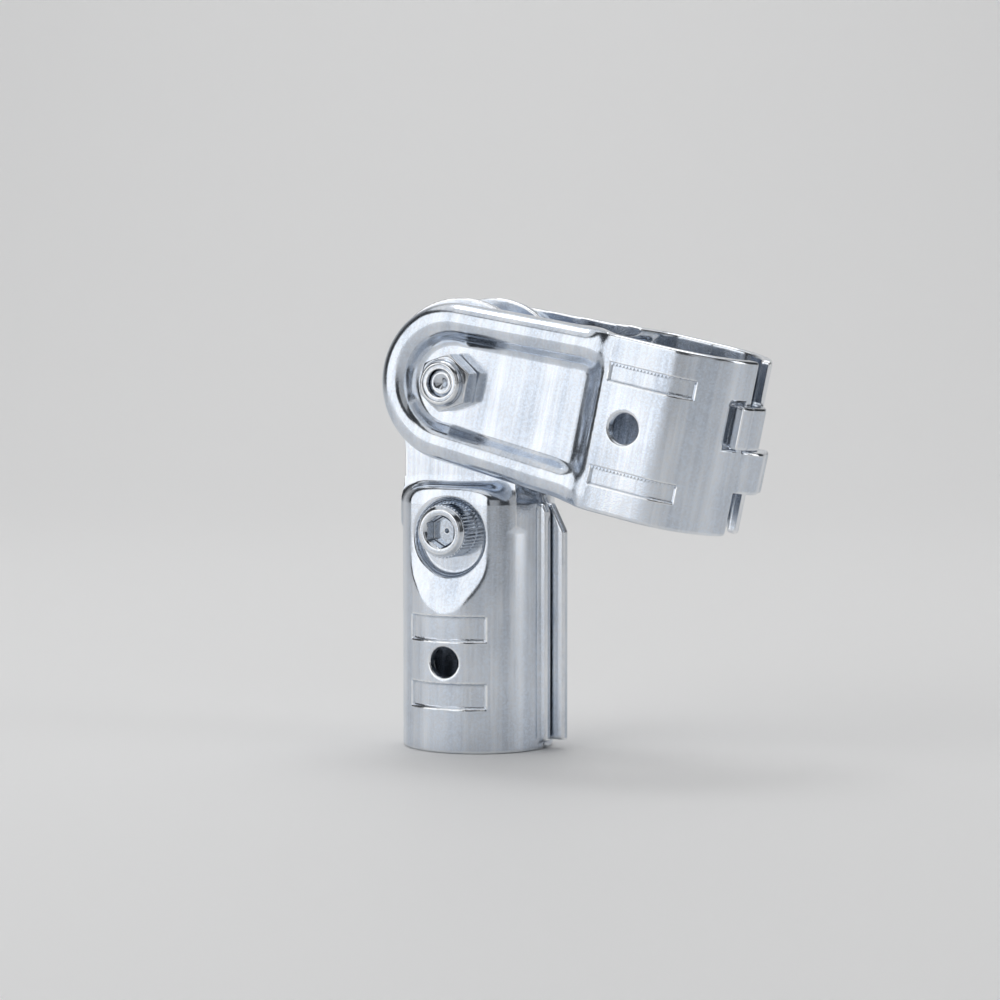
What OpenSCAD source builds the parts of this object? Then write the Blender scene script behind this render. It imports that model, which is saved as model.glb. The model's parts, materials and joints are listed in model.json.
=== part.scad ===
// Swivel tube connector of pressed steel: a two-piece socket for the end of one tube,
// hinged on a bolt to a two-piece hook clamp that grips a second tube.
// Millimetres. Z is the socket's axis, Z = 0 its mouth, and the clamp arm points to +X.
// The front of the connector faces -Y.

/* [Tube and sheet] */
// Outside diameter of the tubes that are gripped
tube_d = 28; // [26:0.5:30]
// Thickness of the pressed sheet
sheet_t = 2.3; // [2:0.1:2.6]

/* [Socket] */
// Depth that a tube end enters the socket
socket_len = 32; // [30:1:40]
// Height of the bolt box above the tube's end
box_h = 25; // [23:0.5:30]
// Ledge that stops the tube's end
stop_ledge = 0.6; // [0.4:0.1:1]
// Rounding of the shoulder on top of the bolt box
shoulder_r = 4; // [3:0.25:5]
// Gap between the two socket halves
socket_gap = 0.8; // [0.4:0.1:1.6]
// Width of the flat shield round the bolt
shield_w = 18.4; // [17.6:0.2:19.4]
// Lift of the shield's foot above the tube's end
foot_lift = 1.7; // [1.4:0.1:2.2]
// Reach of the rear half's seam flange beyond the wall
flange_reach = 4.2; // [3:0.2:6]
// Reach of the front half's seam lip beyond the wall
lip_reach = 1.6; // [1:0.1:2.4]
// Corner cut at the top of the seam flange
flange_cut = 3; // [2:0.2:3.6]
// Lift of the seam flange above the socket's mouth
flange_lift = 2; // [1:0.5:5]

/* [Tongue and swivel] */
// Space between the two tongue plates
tongue_gap = 13; // [12:0.2:13.4]
// Radius of the tongue's round end
tongue_r = 18.2; // [17:0.2:19]
// Half width of the tongue where it leaves the shoulder
tongue_foot = 13.4; // [12:0.1:14]
// Height of the swivel axis above the shoulder
pivot_rise = 22; // [21.5:0.5:30]
// Tilt of the arm below level, as stored
arm_tilt = 12; // [-60:1:14]

/* [Clamp] */
// Distance from the swivel axis to the clamped tube's axis
arm_l = 48.5; // [47:0.5:58]
// Radius of the arm's round end
arm_r = 17; // [16:0.25:17.25]
// Spread of each edge of the arm towards the clamp, in degrees
arm_spread = 2.5; // [0:0.25:3]
// Radius of the pressed bead round the arm
bead_r = 3.7; // [3.2:0.1:3.9]
// Straight height of the bead under its round
bead_base = 2; // [1.5:0.1:2.2]
// Length of the clamp along its tube
clamp_h = 37; // [36.5:0.5:46]
// Length of the clamp wall's flat from the tube's axis towards the swivel
flat_l = 12.5; // [11:0.25:14]
// Run of the slope from that flat down to the arm's floor
slope_l = 5; // [3:0.25:6]
// Gap between the two clamp halves at the hooks
clamp_gap = 6; // [5:0.25:7]

/* [Hooks] */
// Width of a hook along the tube
hook_w = 9; // [7:0.5:10]
// Width of the wall strip that a hook catches
bridge_w = 2; // [1.6:0.1:2.4]
// Thickness of a hook's turned-in tip
tip_t = 2; // [1.6:0.1:2.3]
// Free length of a hook's slot beyond the tip
slot_play = 1; // [0.6:0.1:1.6]

/* [Fasteners] */
// Diameter of both bolts
bolt_d = 6; // [5:0.5:6]
// Diameter of the bolts' round heads
head_d = 11; // [10:0.25:11.5]
// Height of the bolts' heads
head_h = 6.5; // [5.5:0.5:7]
// Size across the flats of the head's key socket
key_af = 5.5; // [4.5:0.5:6]
// Depth of the key socket
key_depth = 3.5; // [2:0.25:4]
// Size across the flats of the nuts
nut_af = 11; // [10:0.25:11.5]
// Height of the nuts
nut_h = 7; // [6:0.25:8]
// Depth of a bolt's end inside its nut
bolt_sink = 1.2; // [0.8:0.1:2]
// Edge cut of heads, nuts and bolt ends
edge_cut = 0.6; // [0.4:0.1:0.8]
// Height of the socket's bolt above the tube's end
bolt_rise = 15.5; // [14.5:0.25:16.5]
// Radius of the round pocket under the socket's bolt head
pocket_r = 8; // [7.8:0.1:8.2]
// Drop of the pocket's middle below the bolt
pocket_drop = 1.5; // [1:0.1:1.6]
// Depth of that pocket below the shield
pocket_depth = 2; // [1:0.25:2.25]

/* [Lock holes and grip pads] */
// Diameter of the hole for a locking screw in each half
lock_d = 6.5; // [5:0.25:7]
// Height of a socket's pressed grip pad along the tube
socket_pad_h = 5.2; // [4:0.2:6]
// Distance between the centres of a socket half's two pads
socket_pad_pitch = 14.4; // [14:0.2:18]
// Height of a clamp's pressed grip pad along the tube
clamp_pad_h = 3.6; // [3:0.2:5]
// Distance between the centres of a clamp half's two pads
clamp_pad_pitch = 21.8; // [20:0.2:24]
// Angle that a socket pad covers round the tube
socket_pad_arc = 66; // [40:2:76]
// Angle that a clamp pad covers round the tube beyond its flat
clamp_pad_arc = 28; // [20:1:40]
// Length of a clamp pad on its flat
clamp_pad_l = 11; // [9:0.25:12]
// Depth of a pad's outer pressing
pad_depth = 0.5; // [0.3:0.1:0.8]
// Height of the lower lock hole above the socket's mouth
lock_rise = 19.5; // [17:0.5:22]
// Distance of the clamp's lock hole from the tube's axis, towards the swivel
lock_set = 5.6; // [5.6:0.2:6.4]

/* [Clearances] */
// Gap between the tongue plates and the arms that turn on them
swivel_clear = 0.25; // [0.2:0.05:0.4]
// Radial clearance of the swivel bolt in its holes
pivot_clear = 0.1; // [0.05:0.01:0.1]
// Radial clearance of the socket's bolt in its holes
bolt_clear = 0.3; // [0.1:0.05:0.5]
// Radial clearance of a nut on its bolt
thread_clear = 0.05; // [0.03:0.01:0.1]
// Gap between a hook and the wall that it lies on
hook_clear = 0.35; // [0.25:0.05:0.6]

/* [Hidden] */
$fn = 96;
// Extra length of every cutting solid
over = 1;
tube_r = tube_d / 2;
wall_r = tube_r + sheet_t;
// Socket levels
shoulder_z = socket_len + box_h;
bolt_z = socket_len + bolt_rise;
pivot_z = shoulder_z + pivot_rise;
neck_r = tube_r - stop_ledge;
shield_y = sqrt(pow(wall_r, 2) - pow(shield_w / 2, 2));
pocket_y = shield_y - pocket_depth;
// The shield's round foot is cut this much wider than its flat
shield_ease = sheet_t / 6;
flange_top = shoulder_z - shoulder_r;
// Faces of the tongue plates and of the arms outside them
tongue_in = tongue_gap / 2;
tongue_out = tongue_in + sheet_t;
arm_in = tongue_out + swivel_clear;
arm_face = arm_in + sheet_t;
// Arm, seen from outside
bead_mid = arm_r - bead_r;
arm_run = arm_l - flat_l + bead_base / 2;
// Faces of the clamp wall's flat, set in a little from the tube's round
flat_out = wall_r - pad_depth * 0.3;
flat_in = flat_out - sheet_t;
// Hooks, as angles round the clamped tube from the arm's own line
mid_r = tube_r + sheet_t / 2;
edge_a = asin(clamp_gap / 2 / mid_r);
slot_a = edge_a + bridge_w / mid_r * 180 / PI;
tip_a = slot_a + hook_clear / mid_r * 180 / PI;
hook_a = tip_a + tip_t / mid_r * 180 / PI;
slot_end_a = hook_a + slot_play / mid_r * 180 / PI;
hook_lift = sheet_t + hook_clear;
hook_step = 3;
// A hook is this much thinner than its wall on each face
hook_inset = 0.06;
// Fasteners
bolt_r = bolt_d / 2;
steel = "silver";
zinc = "gainsboro";

// Eases from 0 to 1 as t runs from 0 to 1
function ease(t) = let (u = max(0, min(1, t))) u * u * (3 - 2 * u);
// Outward offset of a hook at angle a: flush with its own wall, then clear of the other one
function hook_offset(a) = hook_lift * ease((edge_a - a) / (1.6 * edge_a));
function polar(r, a) = [r * cos(a), r * sin(a)];

// Keeps the front part of its children, from y = -depth forwards
module front_of(depth) {
    size = 4 * (pivot_z + arm_l);
    intersection() {
        children();
        translate([-size / 2, -size - depth, -size / 2]) cube(size);
    }
}

// Runs its children's outline along Y from y0 to y1, with the outline's Y as Z
module along_y(y0, y1) {
    translate([0, y1, 0]) rotate([90, 0, 0]) linear_extrude(y1 - y0) children();
}

// Sector of a ring, from the front round towards +X
module side_ring(r_in, r_out, h, arc) {
    rotate([0, 0, 270]) rotate_extrude(angle = arc)
        translate([r_in, -h / 2]) square([r_out - r_in, h]);
}

// Half section of a round can with a rounded top edge
module can_outline(r, h, fillet) {
    square([r, h - fillet]);
    square([r - fillet, h]);
    translate([r - fillet, h - fillet]) circle(fillet);
}

// Two pressed pads of the socket, above and below its lock hole
module socket_pads() {
    for (side = [-1, 1]) translate([0, 0, side * socket_pad_pitch / 2]) rotate([0, 0, -socket_pad_arc / 2])
        side_ring(wall_r - pad_depth, wall_r + over, socket_pad_h, socket_pad_arc);
}

// Two pressed pads of the clamp: along the wall's flat, then on round the tube
module clamp_pads() {
    for (side = [-1, 1]) translate([0, 0, side * clamp_pad_pitch / 2]) {
        side_ring(wall_r - pad_depth, wall_r + over, clamp_pad_h, clamp_pad_arc);
        translate([-clamp_pad_l, -wall_r - over, -clamp_pad_h / 2])
            cube([clamp_pad_l + pad_depth, over + 1.4 * pad_depth, clamp_pad_h]);
    }
}

// Outline of the shield's cut: its round foot, then as wide as the wall up to the top
module shield_outline(grow = 0) {
    foot_r = shield_w / 2 + shield_ease;
    translate([0, socket_len + foot_lift + foot_r]) {
        circle(foot_r + grow);
        translate([-wall_r - over, 0]) square([2 * wall_r + 2 * over, box_h]);
    }
}

module pocket_outline(r) {
    translate([0, bolt_z - pocket_drop]) circle(r);
}

module tongue_outline() {
    foot_z = shoulder_z - 1.4 * sheet_t;
    translate([0, pivot_z]) circle(tongue_r);
    translate([-tongue_foot, foot_z]) square([2 * tongue_foot, pivot_z - foot_z]);
}

// Outside of the whole socket, with its front pressed flat round the bolt
module socket_outside() {
    difference() {
        rotate_extrude() can_outline(wall_r, shoulder_z, shoulder_r);
        along_y(-wall_r - over, -shield_y) shield_outline();
    }
}

// Hollow of the socket behind that flat, above the tube's end
module socket_hollow() {
    difference() {
        rotate_extrude() can_outline(neck_r, shoulder_z - sheet_t, shoulder_r - sheet_t);
        along_y(-wall_r - over, sheet_t - shield_y) shield_outline(sheet_t / 2);
    }
}

// One half of the socket, with its flat shield, bolt pocket and tongue plate
module socket_half() {
    difference() {
        union() {
            difference() {
                front_of(socket_gap / 2) socket_outside();
                socket_hollow();
                translate([0, 0, -over]) cylinder(r = tube_r, h = socket_len + over);
                translate([-wall_r - over, -tongue_in, flange_top])
                    cube([2 * wall_r + 2 * over, tongue_in + over, shoulder_r + over]);
            }
            along_y(sheet_t / 2 - shield_y, sheet_t - pocket_y) pocket_outline(pocket_r + sheet_t / 2);
            along_y(-tongue_out, -tongue_in) tongue_outline();
        }
        along_y(-wall_r - over, -pocket_y) pocket_outline(pocket_r);
        along_y(-wall_r - over, 0) translate([0, bolt_z]) circle(bolt_r + bolt_clear);
        along_y(-wall_r - over, 0) translate([0, pivot_z]) circle(bolt_r + pivot_clear);
        along_y(-wall_r - over, 0) translate([0, lock_rise]) circle(d = lock_d);
        translate([0, 0, lock_rise]) socket_pads();
    }
}

// Flange along the right-hand seam, behind it, with its top corner cut
module seam_flange(reach, cut) {
    foot = tube_r + stop_ledge;
    edge = wall_r + reach;
    along_y(socket_gap / 2, socket_gap / 2 + sheet_t)
        polygon([[foot, flange_lift], [edge, flange_lift], [edge, flange_top - 2 * cut],
                 [edge - cut, flange_top], [foot, flange_top]]);
}

module socket_front_half() {
    color(zinc) {
        socket_half();
        mirror([0, 1, 0]) seam_flange(lip_reach, lip_reach / 2);
    }
}

module socket_rear_half() {
    color(zinc) {
        mirror([0, 1, 0]) socket_half();
        seam_flange(flange_reach, flange_cut);
    }
}

// Half section of the arm's pressing: flat floor from x = -past, then the hollow bead at its edge
module arm_outline(past) {
    hollow_r = bead_r - sheet_t;
    difference() {
        union() {
            translate([-past, 0]) square([bead_mid + past, sheet_t]);
            translate([bead_mid - bead_r, 0]) square([2 * bead_r, bead_base]);
            intersection() {
                translate([bead_mid, bead_base]) circle(bead_r);
                translate([0, bead_base - over / 2]) square(2 * arm_r);
            }
        }
        translate([bead_mid, bead_base]) circle(hollow_r);
        translate([bead_mid - hollow_r, -over]) square([2 * hollow_r, bead_base + over]);
    }
}

// The arm, lying flat with its inner face down and its run along X: two sides that meet on y = 0
module arm_plate() {
    past = arm_run * tan(arm_spread) + over;
    floor_end = arm_l - flat_l - slope_l + sheet_t / 4;
    floor_w = 2 * (bead_mid - bead_r);
    difference() {
        for (side = [0, 1]) mirror([0, side, 0]) intersection() {
            rotate([0, 0, arm_spread]) {
                rotate([90, 0, 90]) linear_extrude(arm_run) arm_outline(past);
                rotate([0, 0, 90]) rotate_extrude(angle = 90) arm_outline(0);
            }
            translate([-2 * arm_l, 0, -over]) cube(4 * arm_l);
        }
        translate([floor_end, -floor_w / 2, -over]) cube([arm_l, floor_w, sheet_t + 2 * over]);
    }
}

// Hook seen along the tube: it leaves its own wall, steps outwards and turns in at the tip
module hook_outline() {
    root_a = edge_a + hook_step;
    outer_r = wall_r - hook_inset;
    inner_r = tube_r + hook_inset;
    tip_r = tube_r + hook_clear;
    polygon(concat(
        [for (a = [root_a : -hook_step : -hook_a + hook_step / 2]) polar(outer_r + hook_offset(a), a)],
        [polar(outer_r + hook_lift, -hook_a), polar(tip_r, -hook_a)],
        [polar(tip_r, -tip_a), polar(inner_r + hook_lift, -tip_a)],
        [for (a = [hook_step / 2 - tip_a : hook_step : root_a - hook_step / 2]) polar(inner_r + hook_offset(a), a)],
        [polar(inner_r, root_a)]));
}

// Wall of the clamp about its tube's axis, front half only: round the tube, then flat towards the swivel
module clamp_wall() {
    difference() {
        front_of(clamp_gap / 2) cylinder(r = wall_r, h = clamp_h, center = true);
        translate([-2 * wall_r, -flat_in, -clamp_h]) cube([2 * wall_r, 2 * flat_in, 2 * clamp_h]);
    }
    translate([-flat_l, -flat_out, -clamp_h / 2]) cube([flat_l, sheet_t, clamp_h]);
}

// Sheet that slopes from the end of that flat down to the arm's floor, between the beads
module clamp_slope() {
    wide = 2 * bead_mid;
    translate([0, 0, -wide / 2]) linear_extrude(wide)
        polygon([[sheet_t - flat_l, -flat_out], [-flat_l, -flat_out], [-flat_l - slope_l, -arm_face],
                 [-flat_l - slope_l, -arm_in], [-flat_l - slope_l + sheet_t / 2, -arm_in],
                 [sheet_t / 2 - flat_l, -flat_in], [sheet_t - flat_l, -flat_in]]);
}

// One half of the hook clamp about the swivel axis, arm along X. Both halves are this piece.
module clamp_half() {
    difference() {
        union() {
            translate([0, -arm_in, 0]) rotate([90, 0, 0]) arm_plate();
            translate([arm_l, 0, 0]) {
                clamp_wall();
                clamp_slope();
            }
        }
        rotate([90, 0, 0]) cylinder(r = bolt_r + pivot_clear, h = 4 * wall_r, center = true);
        translate([arm_l, 0, 0]) {
            cylinder(r = tube_r, h = 2 * clamp_h, center = true);
            along_y(-wall_r - over, 0) translate([-lock_set, 0]) circle(d = lock_d);
            clamp_pads();
            hook_slot();
        }
    }
    translate([arm_l, 0, -hook_w - hook_clear]) mirror([0, 1, 0]) linear_extrude(hook_w) hook_outline();
}

// Slot that takes the other half's hook
module hook_slot() {
    rotate([0, 0, -slot_end_a]) rotate_extrude(angle = slot_end_a - slot_a)
        translate([tube_r - over, 0]) square([sheet_t + 2 * over, hook_w + 2 * hook_clear]);
}

// Places its children on the swivel axis, at the arm's stored tilt
module on_swivel() {
    translate([0, 0, pivot_z]) rotate([0, arm_tilt, 0]) children();
}

module clamp_front_half() {
    color(zinc) on_swivel() clamp_half();
}

module clamp_rear_half() {
    color(zinc) on_swivel() rotate([180, 0, 0]) clamp_half();
}

// Round-headed bolt along +Y: its head's seat is at y = 0, its end at y = shank
module bolt(shank) {
    rotate([-90, 0, 0]) difference() {
        rotate_extrude() polygon([[0, -head_h], [head_d / 2 - edge_cut, -head_h],
            [head_d / 2, edge_cut - head_h], [head_d / 2, 0], [bolt_r, 0], [bolt_r, shank - edge_cut],
            [bolt_r - edge_cut, shank], [0, shank]]);
        translate([0, 0, -head_h - over]) cylinder(d = key_af / cos(30), h = key_depth + over, $fn = 6);
    }
}

// Six-sided nut along +Y from its seat at y = 0, with both faces' corners cut round
module nut() {
    corner_r = nut_af / 2 / cos(30);
    rotate([-90, 0, 0]) difference() {
        intersection() {
            cylinder(r = corner_r, h = nut_h, $fn = 6);
            rotate_extrude() polygon([[0, 0], [nut_af / 2, 0], [corner_r, edge_cut],
                [corner_r, nut_h - edge_cut], [nut_af / 2, nut_h], [0, nut_h]]);
        }
        translate([0, 0, -over]) cylinder(r = bolt_r + thread_clear, h = nut_h + 2 * over);
    }
}

module socket_bolt() {
    color(steel) translate([0, -pocket_y, bolt_z]) bolt(2 * pocket_y + nut_h - bolt_sink);
}

module socket_nut() {
    color(steel) translate([0, pocket_y, bolt_z]) nut();
}

module swivel_bolt() {
    color(steel) on_swivel() rotate([180, 0, 0]) translate([0, -arm_face, 0])
        bolt(2 * arm_face + nut_h - bolt_sink);
}

module swivel_nut() {
    color(steel) on_swivel() rotate([180, 0, 0]) translate([0, arm_face, 0]) nut();
}

socket_front_half();
socket_rear_half();
socket_bolt();
socket_nut();
clamp_front_half();
clamp_rear_half();
swivel_bolt();
swivel_nut();
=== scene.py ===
"""Looks of a swivel tube connector: bright plated pressings, socket screws and nuts, on a pale studio floor.

The pressings are drawn as distance fields: a die surface gives the outer skin, the skin is given its sheet
thickness and trimmed, and every trimmed edge and press line is rounded. A field is then meshed as a fine net.
All lengths are metres, in the frame of the solid model.
"""

import json
import math

import bmesh
import bpy
import numpy as np
from bpy.props import FloatProperty, FloatVectorProperty, IntProperty, PointerProperty
from mathutils import Matrix, Vector


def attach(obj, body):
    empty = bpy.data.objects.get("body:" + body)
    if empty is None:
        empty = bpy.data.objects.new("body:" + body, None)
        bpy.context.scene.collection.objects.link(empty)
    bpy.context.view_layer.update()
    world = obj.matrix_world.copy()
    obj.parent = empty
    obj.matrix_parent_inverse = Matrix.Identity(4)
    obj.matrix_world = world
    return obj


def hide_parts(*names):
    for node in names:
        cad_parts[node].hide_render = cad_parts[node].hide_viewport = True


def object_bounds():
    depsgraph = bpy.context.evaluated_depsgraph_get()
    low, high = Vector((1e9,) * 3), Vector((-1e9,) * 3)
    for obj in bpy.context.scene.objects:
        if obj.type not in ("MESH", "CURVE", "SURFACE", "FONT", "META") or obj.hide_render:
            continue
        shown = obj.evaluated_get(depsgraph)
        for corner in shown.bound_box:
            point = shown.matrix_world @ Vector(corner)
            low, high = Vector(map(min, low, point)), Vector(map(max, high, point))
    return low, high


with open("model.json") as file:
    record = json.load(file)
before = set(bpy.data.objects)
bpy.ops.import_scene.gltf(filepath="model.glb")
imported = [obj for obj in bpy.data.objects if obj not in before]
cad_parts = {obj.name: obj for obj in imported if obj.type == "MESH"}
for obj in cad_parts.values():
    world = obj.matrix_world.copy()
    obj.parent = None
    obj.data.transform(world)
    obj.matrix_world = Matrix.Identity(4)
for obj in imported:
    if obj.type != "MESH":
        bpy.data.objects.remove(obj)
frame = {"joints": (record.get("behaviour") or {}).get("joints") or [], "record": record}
CAD_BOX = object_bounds()

bl_info = {
    "name": "Swivel tube connector",
    "version": (1, 0, 0),
    "blender": (4, 5, 0),
    "location": "View3D > Sidebar > Connector",
    "description": "Builds the plated pressings, screws and nuts of a swivel tube connector",
    "category": "Object",
}

MM = 0.001
CUT_ROUND = 0.2 * MM
FINE_ROUND = 0.3 * MM
MOUNTS = {mount["name"]: mount for mount in frame["record"]["mounts"]}
SWIVEL = frame["joints"][0]

# Sizes that the solid model states
TUBE_R = MOUNTS["tube_socket"]["dims"]["r_mm"] * MM
SOCKET_LEN = MOUNTS["tube_socket"]["dims"]["length_mm"] * MM
CLAMP_LEN = MOUNTS["tube_clamp"]["dims"]["length_mm"] * MM
LOCK_R = MOUNTS["socket_lock_hole"]["dims"]["r_mm"] * MM
LOCK_Z = MOUNTS["socket_lock_hole"]["pos_m"][2]
PIVOT = Vector(SWIVEL["pos_m"])
CLAMP_LOCK_X = (Vector(MOUNTS["clamp_lock_hole"]["pos_m"]) - PIVOT).length
CLAMP_CENTRE = Vector(MOUNTS["tube_clamp"]["pos_m"])
ARM_LEN = (CLAMP_CENTRE - PIVOT).length
ARM_TILT = math.atan2(PIVOT.z - CLAMP_CENTRE.z, CLAMP_CENTRE.x - PIVOT.x)
TO_SWIVEL = Matrix.Translation(PIVOT) @ Matrix.Rotation(ARM_TILT, 4, "Y")


def length(name, description, millimetres):
    """A property that holds a length, given in millimetres."""
    return FloatProperty(name=name, description=description, default=millimetres * MM, unit="LENGTH",
                         precision=5, min=0)


def degrees(name, description, value):
    """A property that holds an angle, given in degrees."""
    return FloatProperty(name=name, description=description, default=math.radians(value), subtype="ANGLE")


def share(name, description, value):
    """A property that holds a share from 0 to 1."""
    return FloatProperty(name=name, description=description, default=value, min=0, max=1, subtype="FACTOR")


def colour(name, description, value):
    """A property that holds a linear colour."""
    return FloatVectorProperty(name=name, description=description, default=value, size=3, subtype="COLOR",
                               min=0, max=1)


def plain(name, description, value):
    """A property that holds a plain number from 0 up."""
    return FloatProperty(name=name, description=description, default=value, min=0)


class SheetSizes(bpy.types.PropertyGroup):
    thickness: length("Sheet", "Thickness of the pressed sheet", 2.3)
    edge_round: length("Edge round", "Rounding of cut edges", 0.7)
    press_round: length("Press round", "Softness of the pressed bends", 2.0)
    net_step: length("Net step", "Mesh size of the pressings", 0.345)
    pad_depth: length("Pad depth", "Depth of a pad below the wall", 0.45)
    pad_slope: length("Pad slope", "Width of the slope round a pad", 0.55)
    socket_pad_height: length("Socket pad height", "Height of a socket's grip pad", 5.2)
    socket_pad_pitch: length("Socket pad pitch", "Distance between a socket half's two pads", 14.4)
    socket_pad_arc: degrees("Socket pad arc", "Angle that a socket pad covers", 66)
    clamp_pad_height: length("Clamp pad height", "Height of a clamp's grip pad", 3.6)
    clamp_pad_pitch: length("Clamp pad pitch", "Distance between a clamp half's two pads", 21.8)
    clamp_pad_arc: degrees("Clamp pad arc", "Angle that a clamp pad covers round the tube", 28)
    clamp_pad_flat: length("Clamp pad flat", "Length of a clamp pad on the wall's flat", 11)
    tooth_pitch: length("Tooth pitch", "Spacing of the teeth along a clamp pad's edge", 0.8)
    tooth_size: length("Tooth size", "Radius of one three-sided tooth", 0.46)


class SocketSizes(bpy.types.PropertyGroup):
    box_height: length("Bolt box", "Height of the bolt box above the tube's end", 25)
    shoulder_round: length("Shoulder", "Rounding on top of the bolt box", 4)
    gap: length("Seam gap", "Gap between the halves", 0.8)
    ledge: length("Stop ledge", "Ledge that stops the tube's end", 0.6)
    shield_width: length("Shield", "Width of the flat round the bolt", 18.4)
    shield_ease: length("Shield ease", "Extra width of the shield's round foot", 0.4)
    shield_draft: share("Shield draft", "Slope of the shield's side, as run over depth", 0.6)
    foot_draft: plain("Foot draft", "The same at the shield's foot", 1.4)
    shield_inset: length("Shield inset", "Set-in of the shield's side at its face", 1)
    foot_inset: length("Foot inset", "The same at the shield's foot", 3.3)
    foot_lift: length("Foot lift", "Lift of the shield's foot above the tube's end", 1.7)
    bolt_rise: length("Bolt height", "Height of the bolt above the tube's end", 15.5)
    pocket_radius: length("Pocket", "Radius of the pocket under the bolt head", 8)
    pocket_drop: length("Pocket drop", "Drop of the pocket's middle below the bolt", 1.5)
    pocket_depth: length("Pocket depth", "Depth of the pocket below the shield", 2)
    tongue_gap: length("Tongue gap", "Space between the tongue plates", 13)
    tongue_radius: length("Tongue", "Radius of the tongue's round end", 18.2)
    tongue_foot: length("Tongue foot", "Half width of the tongue at the shoulder", 13.4)
    neck_round: length("Neck round", "Rounding between the tongue's round end and its neck", 2)
    trim_lift: length("Trim lift", "Height above the shoulder where the tongue's outline starts", 2)
    closed_side: length("Closed side", "Strip beside the tongue's foot that stays closed, and its height", 1)
    flange_reach: length("Flange", "Reach of the rear half's seam flange beyond the wall", 4.2)
    lip_reach: length("Lip", "Reach of the front half's seam lip beyond the wall", 1.6)
    flange_cut: length("Flange cut", "Corner cut of the seam flange", 3)
    flange_lift: length("Flange lift", "Lift of the seam flange above the mouth", 2)
    flange_round: length("Flange round", "Rounding where the seam flange leaves the wall", 0.8)


class ClampSizes(bpy.types.PropertyGroup):
    slip: length("Slip", "Gap between the arms and the tongue plates", 0.25)
    arm_radius: length("Arm end", "Radius of the arm's round end", 17)
    arm_spread: degrees("Arm spread", "Spread of each edge of the arm", 2.5)
    bead_radius: length("Bead", "Radius of the bead round the arm", 3.7)
    bead_base: length("Bead base", "Straight height of the bead under its round", 2)
    flat: length("Flat", "Length of the wall's flat from the tube's axis towards the swivel", 12.5)
    slope: length("Slope", "Run of the slope from the flat down to the arm's floor", 5)
    arm_stop: length("Arm stop", "Distance from the end of the arm's bead to the wall's flat", 0.5)
    slope_trim: length("Slope trim", "Length of the slope that the clamp's edges trim", 1)
    gap: length("Hook gap", "Gap between the halves at the hooks", 6)
    hook_width: length("Hook", "Width of a hook along the tube", 9)
    bridge: length("Bridge", "Wall strip that a hook catches", 2)
    tip: length("Hook tip", "Thickness of a hook's turned-in tip", 2)
    slot_play: length("Slot play", "Free length of the slot beyond the tip", 1)
    hook_gap: length("Hook clearance", "Gap between a hook and the wall under it", 0.35)


class FastenerSizes(bpy.types.PropertyGroup):
    bolt_radius: length("Bolt", "Radius of both bolts", 3)
    head_radius: length("Head", "Radius of the bolt heads", 5.5)
    head_height: length("Head height", "Height of the bolt heads", 6.5)
    key_flats: length("Key", "Key socket across its flats", 6.2)
    key_depth: length("Key depth", "Depth of the key socket", 3.5)
    nut_flats: length("Nut", "Nut across its flats", 11)
    nut_height: length("Nut height", "Height of the nuts", 7)
    sink: length("Sink", "Depth of a bolt's end inside its nut", 1.2)
    hole_gap: length("Hole gap", "Radial clearance of the socket's bolt", 0.3)
    pivot_gap: length("Pivot gap", "Radial clearance of the swivel bolt", 0.1)
    thread_pitch: length("Thread pitch", "Pitch of the threads", 1)
    thread_depth: length("Thread depth", "Depth of the threads", 0.4)
    collar_radius: length("Collar", "Radius of the round collar on a nut", 4.9)
    collar_height: length("Collar height", "Height of that collar", 2)
    knurl_size: length("Knurl", "Radius of one four-sided knurl ridge on a head", 0.27)
    knurl_lift: length("Knurl lift", "Height of the knurl above the head's seat", 0.6)
    knurl_share: share("Knurl share", "Share of a head's height that is knurled", 0.72)
    knurl_count: IntProperty(name="Knurls", description="Knurl ridges round a head", default=44, min=8)
    net_step: length("Net step", "Mesh size of bolts and nuts", 0.16)


class PlatingLook(bpy.types.PropertyGroup):
    sheet: colour("Sheet colour", "Bright zinc plate on the pressings", (0.84, 0.86, 0.89))
    # The shade colours come in by random patches and streaks, and by broad bands that are painted reflection.
    sheet_shade: colour("Sheet shade", "Darker patches of the plate", (0.52, 0.57, 0.65))
    bolt: colour("Bolt colour", "Plate on the bolts", (0.78, 0.80, 0.83))
    bolt_shade: colour("Bolt shade", "Darker patches on the bolts", (0.42, 0.46, 0.52))
    nut: colour("Nut colour", "Plate on the nuts", (0.80, 0.81, 0.83))
    nut_shade: colour("Nut shade", "Darker patches on the nuts", (0.44, 0.47, 0.52))
    fleck: colour("Fleck", "Bluish crystal flecks of the plate", (0.72, 0.82, 0.95))
    rubbed: colour("Rubbed edge", "Bright metal of rubbed edges", (0.94, 0.95, 0.96))
    # Painted shade: the corner colour darkens the plate in concave pressed corners.
    corner: colour("Corner", "Painted shade in pressed corners", (0.30, 0.33, 0.37))
    sheet_roughness: share("Sheet roughness", "Roughness of the pressings", 0.12)
    bolt_roughness: share("Bolt roughness", "Roughness of bolts and nuts", 0.08)
    sheet_bump: share("Sheet bump", "Strength of the fine relief on the pressings", 0.16)
    bolt_bump: share("Bolt bump", "The same on bolts and nuts", 0.05)


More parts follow.
